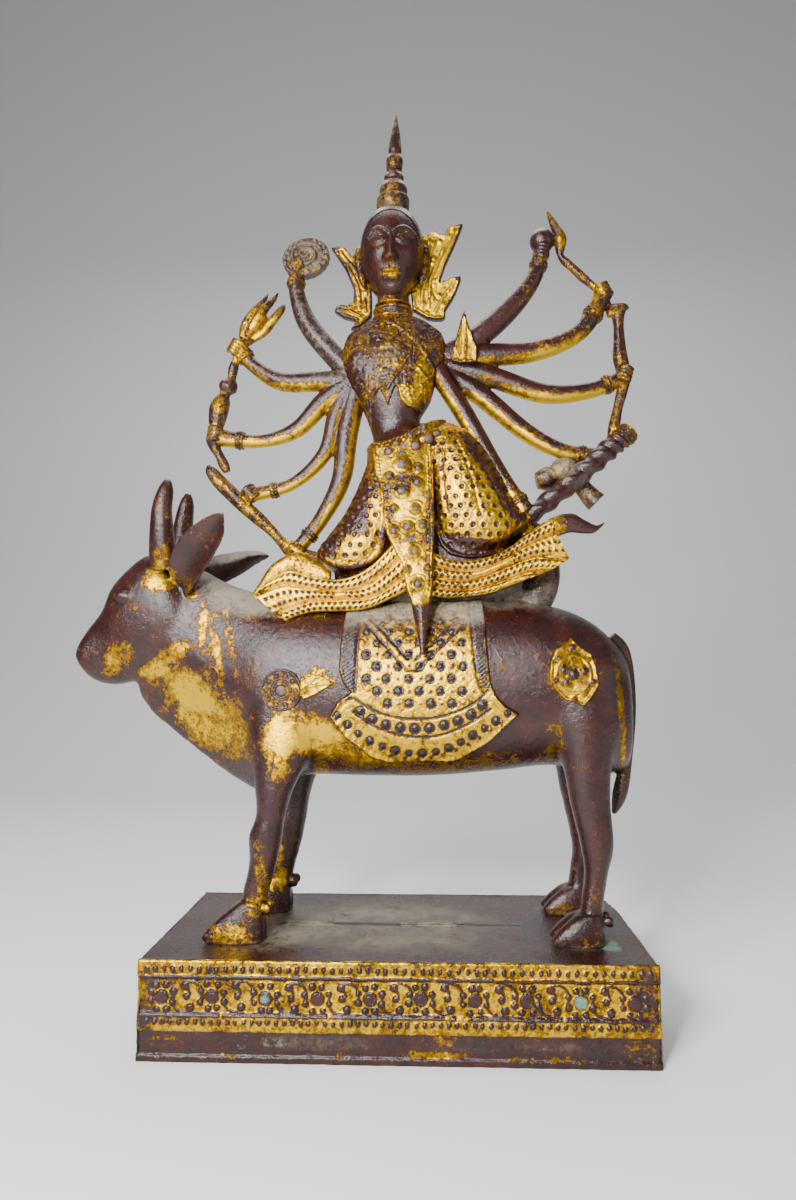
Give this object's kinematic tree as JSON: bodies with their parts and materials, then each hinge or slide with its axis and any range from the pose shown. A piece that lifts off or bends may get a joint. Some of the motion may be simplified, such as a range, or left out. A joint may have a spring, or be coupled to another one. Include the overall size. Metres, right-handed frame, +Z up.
{
  "type": "shiva on nandi statue",
  "caption": "Cast statue of a many-armed deity seated on a standing humped bull, on a rectangular plinth with a band of rosettes and beads.",
  "frame": {"origin": "centre of the plinth's underside", "axes": "+Z up, the bull faces -X along the plinth's length, the rider faces -Y"},
  "size_m": [0.2667, 0.0988, 0.433],
  "materials": {
    "plinth_bronze": "worn red lacquer over bronze, dusty, with a gilded front band",
    "bull_bronze": "glossy dark red lacquer over bronze, with worn gilding",
    "rider_bronze": "worn gilding over dark red lacquer on bronze"
  },
  "bodies": {
    "root": {"plinth": "plinth_bronze", "nandi_bull": "bull_bronze", "shiva_figure": "rider_bronze"}
  },
  "joints": []
}
